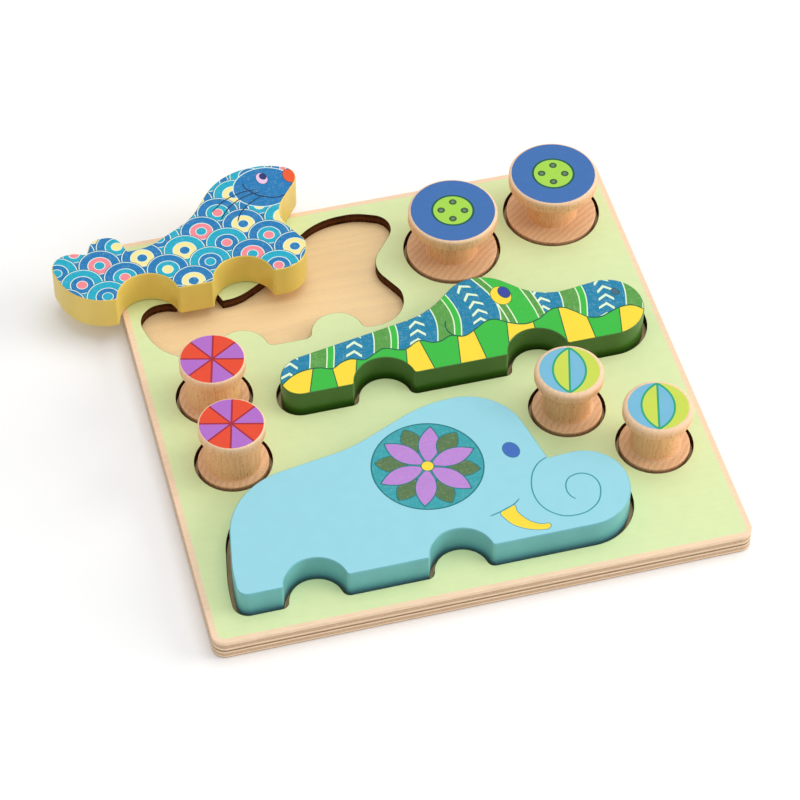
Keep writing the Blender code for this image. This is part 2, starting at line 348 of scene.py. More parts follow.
class ElephantSettings(bpy.types.PropertyGroup):
    """Sizes and colours of the elephant."""

    edge: length("Edge", "Rounding of the sawn edges", 0.0006)
    body: colour("Body", "Printed top", 153, 216, 230)
    side: colour("Side", "Painted sawn side", 109, 184, 189)
    line: colour("Line", "Mouth, trunk and tusk lines", 52, 150, 165)
    ear: colour("Ear", "Ground of the ear", 50, 162, 172)
    petal: colour("Petal", "Petals on the ear", 190, 136, 214)
    leaf: colour("Leaf", "Leaves on the ear", 85, 118, 72)
    rim: colour("Rim", "Line round the eye, the ear, its leaves and petals", 24, 118, 124)
    eye: colour("Eye", "Eye", 62, 108, 190)
    tusk: colour("Tusk", "Tusk and middle of the ear", 255, 222, 60)


class CrocodileSettings(bpy.types.PropertyGroup):
    """Sizes and colours of the crocodile."""

    edge: length("Edge", "Rounding of the sawn edges", 0.0006)
    side: colour("Side", "Painted sawn side", 60, 106, 27)
    water: colour("Blue", "Broad bands of the back", 12, 130, 170)
    leaf: colour("Leaf Green", "Narrow bands of the back", 86, 158, 66)
    bright: colour("Bright Green", "Belly stripes and brow", 56, 188, 64)
    yellow: colour("Yellow", "Belly stripes and eye", 253, 222, 60)
    mint: colour("Mint", "Lines and chevrons of the back", 230, 250, 212)
    line: colour("Line", "Belly line and mouth", 12, 92, 60)
    pupil: colour("Pupil", "Pupil", 52, 66, 160)
    nostril: colour("Nostril", "Nostril", 66, 104, 128)


class SealSettings(bpy.types.PropertyGroup):
    """Sizes and colours of the seal."""

    edge: length("Edge", "Rounding of the sawn edges", 0.0006)
    wave: length("Wave", "Radius of each wave of the pattern", 0.0104)
    side: colour("Side", "Painted sawn side", 236, 205, 98)
    blue: colour("Blue", "Main colour of the waves, and the cheek", 20, 122, 184)
    teal: colour("Teal", "Second colour of the waves", 20, 172, 200)
    yellow: colour("Pale Yellow", "Light arcs of the waves", 250, 235, 158)
    pink: colour("Pink", "Pink arcs of the waves", 248, 140, 150)
    foam: colour("Foam", "Fine lines between the waves", 226, 246, 238)
    line: colour("Line", "Mouth and whiskers, and the line round the eye and the nose", 20, 50, 84)
    shade: colour("Wave Edge", "Fine dark line round each wave", 16, 92, 128)
    nose: colour("Nose", "Nose", 240, 92, 45)
    eye: colour("Eye White", "White of the eye", 240, 200, 232)
    pupil: colour("Pupil", "Pupil", 36, 50, 112)


class SpoolSettings(bpy.types.PropertyGroup):
    """Sizes and colours of the spools."""

    film: length("Print Thickness", "Thickness of a printed film, here and on the animals", 0.00005)
    steps: IntProperty(name="Steps", description="Steps round each spool", min=24, max=256, default=96)
    beech: colour("Beech", "Wood of the flat faces", 242, 200, 156)
    # The turned colour is painted shade: a darker, more saturated copy of the beech for the upright faces
    turned: colour("Turned Beech", "Wood of the turned faces", 246, 188, 136)
    # The rim colour is a painted highlight, laid paler on the spools' upper rims
    rim: colour("Rim", "Sanded upper rims", 255, 232, 202)
    ring: colour("Ring", "Darker wood of the rings and streaks", 206, 146, 98)
    pore: colour("Pore", "Pores and flecks", 148, 94, 56)
    button: colour("Button", "Outer disc of the buttons", 60, 110, 176)
    button_middle: colour("Button Middle", "Middle of the buttons", 165, 216, 76)
    button_line: colour("Button Line", "Line round the button's middle", 0, 86, 66)
    button_hole: colour("Button Hole", "The four holes", 58, 88, 46)
    button_thread: colour("Button Hole Middle", "Middle of the four holes", 96, 132, 104)
    red: colour("Red", "Red sectors of the pinwheels", 233, 74, 42)
    purple: colour("Purple", "Purple sectors of the pinwheels", 180, 110, 202)
    spoke: colour("Spoke", "Lines of the pinwheels", 165, 36, 58)
    sky: colour("Sky Blue", "Blue fields of the lenses", 118, 186, 216)
    lime: colour("Lime", "Lime fields of the lenses", 204, 220, 82)
    lens_line: colour("Lens Line", "Lines of the lenses", 22, 164, 118)


class StageSettings(bpy.types.PropertyGroup):
    """Camera, lamps, sky and floor."""

    lens: number("Lens", "Focal length of the camera in millimetres", 137.25)
    distance: length("Distance", "From the camera to the tray", 1.42875)
    azimuth: angle("Azimuth", "Heading of the camera round the tray", -15.02)
    elevation: angle("Elevation", "Height of the camera above the tray", 48.83)
    sky: number("Sky", "Share of the light that comes from all round", 0.6, min=0.0, max=1.0)
    key: power("Key", "Power of the high lamp", 30.0)
    side: power("Side", "Power of the low lamp", 44.0)
    floor: colour("Floor", "Floor under the tray", 255, 255, 255)


SETTINGS = {
    "inset_puzzle_tray": TraySettings,
    "inset_puzzle_elephant": ElephantSettings,
    "inset_puzzle_crocodile": CrocodileSettings,
    "inset_puzzle_seal": SealSettings,
    "inset_puzzle_spools": SpoolSettings,
    "inset_puzzle_stage": StageSettings,
}


def neighbours(corners):
    """Each corner of a closed path with the ones before and after it."""
    return zip(corners[-1:] + corners[:-1], corners, corners[1:] + corners[:1])


def towards(start, end):
    """The direction from one point to another, as a unit vector."""
    distance = math.dist(start[:2], end[:2])
    return (end[0] - start[0]) / distance, (end[1] - start[1]) / distance


def bearing(start, end):
    """The heading from one point to another."""
    return math.atan2(end[1] - start[1], end[0] - start[0])


def offset(place, heading, ahead, left=0.0):
    """The point some way ahead and to the left of a place, along a heading."""
    along = math.cos(heading)
    across = math.sin(heading)
    return place[0] + ahead * along - left * across, place[1] + ahead * across + left * along


def millimetres(place):
    """A place on the tray in the artwork's unit."""
    return place[0] * 1000, place[1] * 1000


def turn_at(before, corner, after):
    """Cross product of the two edges at a corner: above zero where the path turns left."""
    first = towards(before, corner)
    second = towards(corner, after)
    return first[0] * second[1] - first[1] * second[0]


def half_angles(corners):
    """Half the angle between the two edges at each corner of a closed path."""
    halves = []
    for before, corner, after in neighbours(corners):
        back = towards(corner, before)
        on = towards(corner, after)
        halves.append(math.acos(back[0] * on[0] + back[1] * on[1]) / 2)
    return halves


def arc_reaches(corners, halves):
    """How far each corner's arc runs along its edges, less where two arcs would meet on an edge."""
    asked = [corner[2] / math.tan(half) for corner, half in zip(corners, halves)]
    reaches = list(asked)
    for i, corner in enumerate(corners):
        total = asked[i - 1] + asked[i]
        room = ARC_SHARE * math.dist(corners[i - 1][:2], corner[:2])
        if total > room:
            reaches[i - 1] = min(reaches[i - 1], asked[i - 1] * room / total)
            reaches[i] = min(reaches[i], asked[i] * room / total)
    return reaches


def fine_arcs(radius, sweep):
    """How many straight pieces an arc needs to look round."""
    step = FINE_STEP
    if radius > ARC_TOLERANCE:
        step = min(step, 2 * math.acos(1 - ARC_TOLERANCE / radius))
    return max(1, math.ceil(sweep / step))


def round_corners(corners):
    """The points of a closed path through the corners, each with an arc of its own radius."""
    halves = half_angles(corners)
    reaches = arc_reaches(corners, halves)
    points = []
    for (before, corner, after), half, reach in zip(neighbours(corners), halves, reaches):
        if reach == 0:
            points.append(corner[:2])
            continue
        side = math.copysign(1, turn_at(before, corner, after))
        radius = reach * math.tan(half)
        back = bearing(corner, before)
        start = offset(corner, back, reach)
        centre = offset(corner, back, reach, -side * radius)
        first_heading = bearing(centre, start)
        sweep = math.pi - 2 * half
        arcs = fine_arcs(radius, sweep)
        for i in range(arcs + 1):
            points.append(offset(centre, first_heading + side * sweep * i / arcs, radius))
    return points


def mitred(before, point, after, distance):
    """A point of a path, moved so that both its edges end up that far to the right."""
    arriving = towards(before, point)
    leaving = towards(point, after)
    step = distance / (1 + arriving[0] * leaving[0] + arriving[1] * leaving[1])
    return point[0] + step * (arriving[1] + leaving[1]), point[1] - step * (arriving[0] + leaving[0])


def inset(outline, distance):
    """The outline moved to the left of its own direction, which is into the wood."""
    return [mitred(before, point, after, -distance) for before, point, after in neighbours(outline)]


def grow(corners, distance):
    """The corners of the path that runs the same distance outside a counter-clockwise one."""
    grown = []
    for before, corner, after in neighbours(corners):
        change = math.copysign(distance, turn_at(before, corner, after))
        grown.append((*mitred(before, corner, after, distance), max(corner[2] + change, SAW_RADIUS)))
    return grown


def arch_corners(x):
    """The corners of one arch in the base line."""
    tangent = math.tan((math.pi / 2 - ARCH_LEAN) / 2)
    crown = ARCH_RADIUS * tangent + ARCH_CROWN_FLAT / 2
    wall = (ARCH_RADIUS + FOOT_ROUNDING) * tangent + ARCH_WALL_FLAT
    height = wall * math.cos(ARCH_LEAN)
    foot = crown + wall * math.sin(ARCH_LEAN)
    return [
        (x - foot, 0.0, FOOT_ROUNDING),
        (x - crown, height, ARCH_RADIUS),
        (x + crown, height, ARCH_RADIUS),
        (x + foot, 0.0, FOOT_ROUNDING),
    ]


def animal_corners(node):
    """An animal's whole outline: its body, then the two arches from the hind foot to the front one."""
    half_pitch = ARCH_PITCHES[node] / 2
    return BODY_CORNERS[node] + arch_corners(-half_pitch) + arch_corners(half_pitch)


def moved(points, place):
    """The points of an outline at its place on the tray."""
    return [(x + place[0], y + place[1]) for x, y in points]


def ellipse(middle, half_width, half_height, turn=0.0, steps=48):
    """The outline of an ellipse, turned about its middle."""
    points = []
    for i in range(steps):
        t = 2 * math.pi * i / steps
        points.append(offset(middle, turn, half_width * math.cos(t), half_height * math.sin(t)))
    return points


def disc(middle, radius, steps=48):
    """The outline of a circle."""
    return ellipse(middle, radius, radius, 0.0, steps)


def curve_value(t, p, q, r, s):
    """The value between q and r on a smooth curve through four values."""
    return q + 0.5 * t * (r - p + t * (2 * p - 5 * q + 4 * r - s + t * (3 * q - p - 3 * r + s)))


def smooth_path(points, steps=8, closed=False):
    """A path through the points that bends smoothly."""
    if closed:
        ends = points[-1:] + points + points[:2]
    else:
        ends = points[:1] + points + points[-1:]
    path = []
    for four in zip(ends, ends[1:], ends[2:], ends[3:]):
        for i in range(steps):
            path.append(tuple(curve_value(i / steps, *values) for values in zip(*four)))
    return path if closed else path + points[-1:]


def stroke(points, width):
    """The outline of a drawn line, finer at its two ends."""
    path = smooth_path(points)
    left = []
    right = []
    last = len(path) - 1
    for i, place in enumerate(path):
        heading = bearing(path[max(i - 1, 0)], path[min(i + 1, last)])
        half = width / 2 * min(1.0, 0.35 + 0.22 * min(i, last - i))
        left.append(offset(place, heading, 0.0, half))
        right.append(offset(place, heading, 0.0, -half))
    return right + left[::-1]


def bar(start, end, width):
    """The outline of a straight line of even width."""
    heading = bearing(start, end)
    half = width / 2
    sides = ((start, -half), (end, -half), (end, half), (start, half))
    return [offset(place, heading, 0.0, side) for place, side in sides]


def chevron(middle, heading):
    """The outline of a chevron that points along a heading."""
    corners = [(2.2, 0.0), (-0.9, 3.7), (-2.5, 3.7), (0.5, 0.0), (-2.5, -3.7), (-0.9, -3.7)]
    return [offset(middle, heading, ahead, left) for ahead, left in corners]


def leaf(middle, heading, start, end, half_width, steps=18):
    """The outline of a pointed leaf that grows away from a point, between two distances from it."""
    right = []
    left = []
    for i in range(steps + 1):
        t = i / steps
        reach = start + (end - start) * t
        wide = half_width * 4 * t * (1 - t)
        right.append(offset(middle, heading, reach, -wide))
        left.append(offset(middle, heading, reach, wide))
    return right[:-1] + left[:0:-1]


def meet(patch, sheet):
    """Whether a patch of artwork can lie on a sheet: whether the boxes round them overlap."""
    return all(max(a) >= min(b) and min(a) <= max(b) for a, b in zip(zip(*patch), zip(*sheet)))


def edge_profile(thickness, edge, steps=4):
    """Inset and height at each level of a sawn wall with both its edges rounded, from the bottom up."""
    lower = []
    for i in range(steps + 1):
        t = math.pi / 2 * i / steps
        lower.append((edge * (1 - math.sin(t)), edge * (1 - math.cos(t))))
    upper = [(depth, thickness - height) for depth, height in reversed(lower)]
    return lower + upper


def fill(mesh, loops, upward, slot):
    """Closes one end of a sawn sheet, inside its first loop of vertices and outside the others."""
    vertices = []
    faces = []
    for loop in loops:
        order = list(range(len(vertices), len(vertices) + len(loop)))
        faces.append(order[::-1] if vertices else order)
        vertices.extend(loop)
    flat = [Vector((vertex.co.x * 1000, vertex.co.y * 1000)) for vertex in vertices]
    made = delaunay_2d_cdt(flat, [], faces, 1, 0.00001)
    triangles, sources, covers = made[2], made[3], made[5]
    for triangle, cover in zip(triangles, covers):
        if list(cover) == [0]:
            corners = [vertices[sources[i][0]] for i in triangle]
            face = mesh.faces.new(corners if upward else corners[::-1])
            face.material_index = slot


def sawn_plate(outlines, bottom, profile):
    """A sheet of the first outline, pierced by the others. Slots: top, bottom, outer wall, inner walls."""
    mesh = bmesh.new()
    ends = []
    for order, outline in enumerate(outlines):
        path = outline if order == 0 else outline[::-1]
        rings = []
        for depth, height in profile:
            rings.append([mesh.verts.new((x, y, bottom + height)) for x, y in inset(path, depth)])
        for lower, upper in zip(rings, rings[1:]):
            for i in range(len(path)):
                face = mesh.faces.new((lower[i - 1], lower[i], upper[i], upper[i - 1]))
                face.material_index = 2 if order == 0 else 3
        ends.append((rings[0], rings[-1]))
    fill(mesh, [upper for lower, upper in ends], True, 0)
    fill(mesh, [lower for lower, upper in ends], False, 1)
    for face in mesh.faces:
        face.smooth = True
    return mesh


def print_film(outline, artwork, top, film):
    """A flat printed film and its inks. Each patch of the artwork hides the ones before it."""
    sheet = [millimetres(point) for point in outline]
    kept = [(patch, ink) for patch, ink in artwork if meet(patch, sheet)]
    inks = [ink for patch, ink in kept]
    points = []
    faces = []
    for patch in [sheet] + [patch for patch, ink in kept]:
        faces.append(list(range(len(points), len(points) + len(patch))))
        points.extend(Vector(point) for point in patch)
    made = delaunay_2d_cdt(points, [], faces, 1, 0.0005)
    places, triangles, covers = made[0], made[2], made[5]
    mesh = bmesh.new()
    vertices = {}
    materials = list(dict.fromkeys(inks))
    for triangle, cover in zip(triangles, covers):
        if 0 not in cover or max(cover) == 0:
            continue
        for i in triangle:
            if i not in vertices:
                vertices[i] = mesh.verts.new((places[i].x / 1000, places[i].y / 1000, top))
        face = mesh.faces.new([vertices[i] for i in triangle])
        face.material_index = materials.index(inks[max(cover) - 1])
    rim = [edge for edge in mesh.edges if edge.is_boundary]
    skirt = bmesh.ops.extrude_edge_only(mesh, edges=rim)
    lowered = [item for item in skirt["geom"] if isinstance(item, bmesh.types.BMVert)]
    bmesh.ops.translate(mesh, verts=lowered, vec=(0, 0, -FILM_SKIRT * film))
    bmesh.ops.recalc_face_normals(mesh, faces=mesh.faces)
    if sum(face.normal.z * face.calc_area() for face in mesh.faces) < 0:
        bmesh.ops.reverse_faces(mesh, faces=mesh.faces)
    return mesh, materials


def turned(profile, place, bottom, steps):
    """A solid turned about a vertical axis. Its profile runs from the top's middle to the bottom's."""
    mesh = bmesh.new()
    rings = []
    for radius, height in profile:
        ring = []
        for i in range(steps if radius > MEETING_POINTS else 1):
            x, y = offset(place, 2 * math.pi * i / steps, radius)
            ring.append(mesh.verts.new((x, y, bottom + height)))
        rings.append(ring)
    for upper, lower in zip(rings, rings[1:]):
        for i in range(steps):
            corners = [upper[i % len(upper)], upper[(i - 1) % len(upper)]]
            corners += [lower[(i - 1) % len(lower)], lower[i % len(lower)]]
            face = mesh.faces.new(list(dict.fromkeys(corners)))
            face.smooth = True
    return mesh


def add_object(name, data):
    """Makes an object in the scene."""
    made = bpy.data.objects.new(name, data)
    bpy.context.scene.collection.objects.link(made)
    return made


def add_mesh(name, mesh, materials):
    """Makes an object of a finished mesh and its materials."""
    data = bpy.data.meshes.new(name)
    mesh.to_mesh(data)
    mesh.free()
    for material in materials:
        data.materials.append(material)
    return add_object(name, data)


def add_piece(name, mesh, body, materials):
    """Makes a piece and lets it ride on a body."""
    piece = add_mesh(name, mesh, materials)
    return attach(piece, body)


def stand_for(piece, node):
    """Shades the rounded edges of a piece evenly and puts the piece in the place of a CAD node."""
    piece.data.set_sharp_from_angle(angle=SHARP_EDGE)
    weighted = piece.modifiers.new("Even shading", "WEIGHTED_NORMAL")
    weighted.weight = 100
    weighted.keep_sharp = True
    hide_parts(node)


class Net:
    """The nodes of a material, a group or the world. Their inputs are plain values or sockets."""

    def __init__(self, tree):
        self.tree = tree

    def feed(self, socket, value):
        """Sets or links one input."""
        if isinstance(value, bpy.types.NodeSocket):
            self.tree.links.new(value, socket)
        else:
            socket.default_value = value

    def add(self, kind, inputs=(), **settings):
        """Adds a node with its settings and inputs, and gives its outputs."""
        node = self.tree.nodes.new(kind)
        for name, value in settings.items():
            setattr(node, name, value)
        for name, value in dict(inputs).items():
            self.feed(node.inputs[name], value)
        return node.outputs

    def maths(self, operation, *values):
        """The result of one step of arithmetic."""
        return self.add("ShaderNodeMath", enumerate(values), operation=operation)[0]

    def times(self, first, second):
        return self.maths("MULTIPLY", first, second)

    def plus(self, first, second):
        return self.maths("ADD", first, second)

    def less(self, first, second):
        return self.maths("SUBTRACT", first, second)

    def vector(self, operation, *values):
        """The vector that one step of arithmetic gives."""
        return self.add("ShaderNodeVectorMath", enumerate(values), operation=operation)[0]

    def reach(self, vector):
        """The length of a vector."""
        return self.add("ShaderNodeVectorMath", {0: vector}, operation="LENGTH")["Value"]

    def joined(self, x, y, z):
        """A vector of three values."""
        return self.add("ShaderNodeCombineXYZ", enumerate((x, y, z)))[0]

    def split(self, vector):
        """The three values of a vector."""
        return self.add("ShaderNodeSeparateXYZ", {0: vector})

    def blend(self, factor, first, second, kind="MIX"):
        """One colour laid over another by a factor."""
        inputs = {0: factor, 6: first, 7: second}
        return self.add("ShaderNodeMix", inputs, data_type="RGBA", blend_type=kind)[2]

    def ramp(self, value, low, high, to_low=0.0, to_high=1.0):
        """The value stretched from one range to another, with soft ends."""
        inputs = enumerate((value, low, high, to_low, to_high))
        return self.add("ShaderNodeMapRange", inputs, interpolation_type="SMOOTHSTEP")[0]

    def noise(self, vector, scale, detail=2.0, roughness=0.5):
        """A cloudy value from 0 to 1."""
        inputs = {"Vector": vector, "Scale": scale, "Detail": detail, "Roughness": roughness}
        return self.add("ShaderNodeTexNoise", inputs)[0]

    def streaks(self, vector, x, y, z, detail=2.0, roughness=0.5):
        """A cloudy value, with clouds of a given size in metres along each axis."""
        return self.noise(self.vector("DIVIDE", vector, self.joined(x, y, z)), 1.0, detail, roughness)

    def group(self, name, inputs):
        """Places a shared group with its own values, and makes the group at its first use."""
        made = bpy.data.node_groups.get(name) or new_group(name)
        return self.add("ShaderNodeGroup", inputs, node_tree=made)


def wood_figure(net, given):
    """Growth rings, fibres and pores of wood whose grain and pith run along the vector's Z."""
    vector = given["Vector"]
    fibre = given["Fibre"]
    pore = given["Pore"]
    place = net.split(vector)
    radius = net.reach(net.joined(place[0], place[1], 0.0))
    wander = net.times(net.streaks(vector, 0.012, 0.012, 0.09, 2.0, 0.4), given["Wander"])
    wave = net.maths("FRACT", net.maths("DIVIDE", net.plus(radius, wander), given["Ring Spacing"]))
    late = net.ramp(wave, 0.35, 0.92)
    early = net.ramp(wave, 0.93, 1.0, 1.0, 0.0)
    specks = net.streaks(vector, pore, pore, net.times(pore, 7.0), 0.0)
    return {
        "Rings": net.times(late, early),
        "Fibres": net.streaks(vector, fibre, fibre, net.times(fibre, 22.0), 3.0, 0.6),
        "Pores": net.ramp(specks, 0.66, 0.76),
    }


def printed_ink(net, given):
    """Screen-printed ink: a colour that thins out over a fine weave, and a slightly uneven gloss."""
    vector = given["Vector"]
    ink = given["Ink"]
    across = net.streaks(vector, 0.0042, 0.00045, 0.01, 2.0, 0.65)
    along = net.streaks(vector, 0.0005, 0.0034, 0.01, 2.0, 0.65)
    cloud = net.noise(vector, 140.0, 3.0, 0.55)
    weave = net.plus(net.times(across, 0.55), net.times(along, 0.45))
    paler = net.times(net.ramp(weave, 0.5, 0.72), given["Weave"])
    darker = net.times(net.ramp(weave, 0.5, 0.3), net.times(given["Weave"], 0.75))
    pale_ink = net.blend(0.24, ink, (0.82, 0.88, 0.72, 1.0))
    deep_ink = net.blend(0.34, ink, (0.0, 0.02, 0.06, 1.0))
    laid = net.blend(darker, net.blend(paler, ink, pale_ink), deep_ink)
    shade = net.ramp(cloud, 0.3, 0.7, 0.988, 1.012)
    return {
        "Color": net.blend(1.0, laid, net.joined(shade, shade, shade), "MULTIPLY"),
        "Roughness": net.plus(given["Gloss"], net.times(net.less(weave, 0.5), 0.2)),
        "Height": net.plus(weave, net.times(cloud, 0.5)),
    }


def ply_bands(net, given):
    """The plies of a three-ply sheet, seen at its edge, by the height of the vector."""
    vector = given["Vector"]
    level = net.maths("DIVIDE", net.less(net.split(vector)[2], given["Bottom"]), given["Thickness"])
    swell = net.streaks(vector, 0.02, 0.02, 0.004, 3.0, 0.6)
    wavy = net.plus(level, net.times(net.less(swell, 0.5), 0.09))
    from_middle = net.maths("ABSOLUTE", net.less(wavy, 0.5))
    from_glue = net.maths("ABSOLUTE", net.less(from_middle, 0.17))
    above = net.times(net.ramp(level, 0.84, 0.99), given["Joint Above"])
    return {
        "Middle": net.ramp(from_middle, 0.185, 0.155),
        "Glue": net.ramp(from_glue, 0.034, 0.008),
        # Darker at the lower rim: a glue joint where a sheet sits on another, painted contact shade where it
        # sits on the floor; and darker below a sheet glued above
        "Joint": net.maths("MAXIMUM", net.ramp(level, 0.16, 0.01), above),
    }


def laser_char(net, given):
    """The uneven scorch that a laser leaves on a cut wall, in fine upright streaks."""
    streak = given["Streak"]
    fine = net.streaks(given["Vector"], streak, streak, net.times(streak, 14.0), 3.0, 0.6)
    broad = net.noise(given["Vector"], 70.0)
    both = net.plus(net.times(fine, 0.6), net.times(broad, 0.4))
    return {"Scorch": net.ramp(both, 0.34, 0.66), "Streaks": fine}


# Each shared group's maker, and its inputs with their first values
GROUPS = {
    "Wood figure": (
        wood_figure,
        {"Vector": None, "Ring Spacing": 0.003, "Wander": 0.002, "Fibre": 0.0005, "Pore": 0.0003},
    ),
    "Printed ink": (printed_ink, {"Vector": None, "Ink": None, "Weave": 0.3, "Gloss": 0.45}),
    "Ply bands": (ply_bands, {"Vector": None, "Bottom": 0.0, "Thickness": 0.0055, "Joint Above": 0.0}),
    "Laser char": (laser_char, {"Vector": None, "Streak": 0.0007}),
}
SOCKET_KINDS = {"Vector": "NodeSocketVector", "Ink": "NodeSocketColor", "Color": "NodeSocketColor"}


def new_group(name):
    """Makes one of the shared groups, with a socket for each thing that it takes and gives."""
    maker, inputs = GROUPS[name]
    tree = bpy.data.node_groups.new(name, "ShaderNodeTree")

    def add_socket(socket, side):
        kind = SOCKET_KINDS.get(socket, "NodeSocketFloat")
        return tree.interface.new_socket(socket, in_out=side, socket_type=kind)

    for socket, value in inputs.items():
        made = add_socket(socket, "INPUT")
        if value is not None:
            made.default_value = value
    results = maker(Net(tree), tree.nodes.new("NodeGroupInput").outputs)
    for socket in results:
        add_socket(socket, "OUTPUT")
    leaving = tree.nodes.new("NodeGroupOutput").inputs
    for socket, value in results.items():
        tree.links.new(value, leaving[socket])
    return tree


class Finish(Net):
    """A new material. Its space is a point's place on the tray when the piece is at rest."""

    def __init__(self, name, shown, roughness=0.5, specular=0.25):
        self.material = bpy.data.materials.new(name)
        self.material.use_nodes = True
        self.material.diffuse_color = shown
        super().__init__(self.material.node_tree)
        self.shader = self.tree.nodes["Principled BSDF"].inputs
        self.shader["Base Color"].default_value = shown
        self.shader["Roughness"].default_value = roughness
        self.shader["Specular IOR Level"].default_value = specular
        self.coordinates = self.add("ShaderNodeTexCoord")
        self.space = self.coordinates["Object"]

    def grain_across(self, depth):
        """The wood's vector for a sheet whose grain runs along X, cut a depth above the pith."""
        place = self.split(self.space)
        return self.joined(place[1], self.plus(place[2], depth), place[0])

    def wood(self, vector, spacing, wander, fibre, pore):
        """Places the wood figure."""
        sizes = {"Ring Spacing": spacing, "Wander": wander, "Fibre": fibre, "Pore": pore}
        return self.group("Wood figure", {"Vector": vector, **sizes})

    def ink(self, shown, weave, gloss):
        """Places the printed ink."""
        return self.group("Printed ink", {"Vector": self.space, "Ink": shown, "Weave": weave, "Gloss": gloss})

    def plies(self, low, high, joint_above=0.0):
        """Places the plies of a sheet, by the lowest and highest corners of its box."""
        sizes = {"Bottom": low.z, "Thickness": high.z - low.z, "Joint Above": joint_above}
        return self.group("Ply bands", {"Vector": self.space, **sizes})

    def done(self, tint, roughness, height, strength, distance):
        """Feeds the shader, lets a height tilt the light on the surface, and hands over the material."""
        self.feed(self.shader["Base Color"], tint)
        self.feed(self.shader["Roughness"], roughness)
        bump = {"Height": height, "Strength": strength, "Distance": distance}
        self.feed(self.shader["Normal"], self.add("ShaderNodeBump", bump)[0])
        return self.material


def ink_material(name, shown, weave, gloss=0.45):
    """A printed colour."""
    old = bpy.data.materials.get(name)
    if old:
        return old
    net = Finish(name, shown, gloss)
    ink = net.ink(shown, weave, gloss)
    return net.done(ink["Color"], ink["Roughness"], ink["Height"], strength=0.12, distance=0.00005)


def paint_material(name, shown, gloss=0.32):
    """Smooth paint on a sawn side, a little thinner in places."""
    net = Finish(name, shown, gloss, 0.5)
    marks = net.streaks(net.space, 0.012, 0.012, 0.05, 1.0, 0.4)
    pools = net.noise(net.space, 40.0)
    dark = tuple(channel * 0.92 for channel in shown[:3]) + (1.0,)
    light = tuple(min(1.0, channel * 1.04 + 0.003) for channel in shown[:3]) + (1.0,)
    uneven = net.plus(net.times(marks, 0.5), net.times(pools, 0.5))
    tint = net.blend(net.ramp(uneven, 0.3, 0.7), dark, light)
    roughness = net.ramp(uneven, 0.3, 0.7, gloss + 0.06, gloss - 0.04)
    fine = net.streaks(net.space, 0.0006, 0.0006, 0.006)
    return net.done(tint, roughness, fine, strength=0.03, distance=0.00004)


def birch_material(name, pale, dark, depth):
    """The rotary-cut face of birch plywood, with its broad soft figure."""
    net = Finish(name, pale, 0.55, 0.3)
    wood = net.wood(net.grain_across(depth), spacing=0.0052, wander=0.014, fibre=0.0005, pore=0.00022)
    fibres = wood["Fibres"]
    ringed = net.blend(net.times(wood["Rings"], 0.12), pale, dark)
    fibred = net.blend(net.ramp(fibres, 0.35, 0.7, 0.0, 0.12), ringed, dark)
    flecked = net.blend(net.times(wood["Pores"], 0.18), fibred, WOOD_FLECK)
    roughness = net.ramp(fibres, 0.3, 0.7, 0.5, 0.62)
    return net.done(flecked, roughness, fibres, strength=0.2, distance=0.00008)


def tray_top_material(settings):
    """The tray's top: a printed field with a bare birch margin round it."""
    net = Finish("tray_top", settings.print_colour, 0.5, 0.3)
    wood = net.wood(net.grain_across(depth=0.14), spacing=0.0024, wander=0.008, fibre=0.00045, pore=0.0002)
    fibres = wood["Fibres"]
    bare = net.blend(net.ramp(fibres, 0.35, 0.7, 0.0, 0.3), settings.pale_ply, settings.dark_ply)
    ink = net.ink(settings.print_colour, weave=0.12, gloss=0.5)
    printed = net.blend(net.times(wood["Rings"], 0.045), ink["Color"], RINGS_IN_PRINT)
    radius = TRAY_CORNER_RADIUS - settings.margin
    straight = TRAY_HIGH.x - TRAY_CORNER_RADIUS
    folded = net.vector("ABSOLUTE", net.vector("MULTIPLY", net.space, (1.0, 1.0, 0.0)))
    beyond = net.vector("SUBTRACT", folded, (straight, straight, 0.0))
    corner = net.vector("MAXIMUM", beyond, (0.0, 0.0, 0.0))
    ragged = net.times(net.noise(net.space, 900.0), 0.00025)
    margin = net.ramp(net.plus(net.reach(corner), ragged), radius + 0.00002, radius + 0.00022)
    tint = net.blend(margin, printed, bare)
    height = net.plus(net.times(ink["Height"], 0.5), fibres)
    return net.done(tint, ink["Roughness"], height, strength=0.15, distance=0.00006)


def ply_edge_material(name, settings, low, high, joint_above):
    """The outer edge of a three-ply sheet, darker at its lower rim and where another is glued above it. At
    the lower rim this is a glue joint where a sheet sits on another, and painted contact shade where it sits
    on the floor.
    """
    net = Finish(name, settings.pale_ply, 0.6, 0.3)
    plies = net.plies(low, high, joint_above)
    wood = net.wood(net.grain_across(depth=0.1), spacing=0.004, wander=0.002, fibre=0.0003, pore=0.0002)
    end_grain = net.streaks(net.space, 0.0003, 0.0003, 0.0012, 2.0, 0.6)
    pale = net.blend(net.ramp(wood["Fibres"], 0.35, 0.7, 0.0, 0.5), settings.pale_ply, settings.dark_ply)
    dark = net.blend(net.ramp(end_grain, 0.4, 0.7, 0.0, 0.5), settings.dark_ply, settings.glue)
    banded = net.blend(plies["Middle"], pale, dark)
    glued = net.blend(net.times(plies["Glue"], 0.5), banded, settings.glue)
    # Real glue joints between the sheets, and painted contact shade at the backing's foot
    tint = net.blend(net.times(plies["Joint"], 0.8), glued, JOINT_AND_CONTACT_SHADE)
    roughness = net.ramp(end_grain, 0.3, 0.7, 0.55, 0.7)
    return net.done(tint, roughness, net.less(end_grain, plies["Glue"]), strength=0.3, distance=0.0001)


def charred_material(settings):
    """The scorched wall of a recess, where the middle ply shows as a paler line."""
    net = Finish("charred_wall", settings.scorch, 0.75, 0.04)
    char = net.group("Laser char", {"Vector": net.space})
    burnt = net.blend(char["Scorch"], BLACK_CHAR, settings.scorch)
    middle = net.plies(TRAY_LOW, TRAY_HIGH)["Middle"]
    lined = net.blend(net.times(middle, 0.4), burnt, CHARRED_PLY)
    roughness = net.ramp(char["Streaks"], 0.3, 0.7, 0.65, 0.85)
    return net.done(lined, roughness, char["Streaks"], strength=0.4, distance=0.00015)


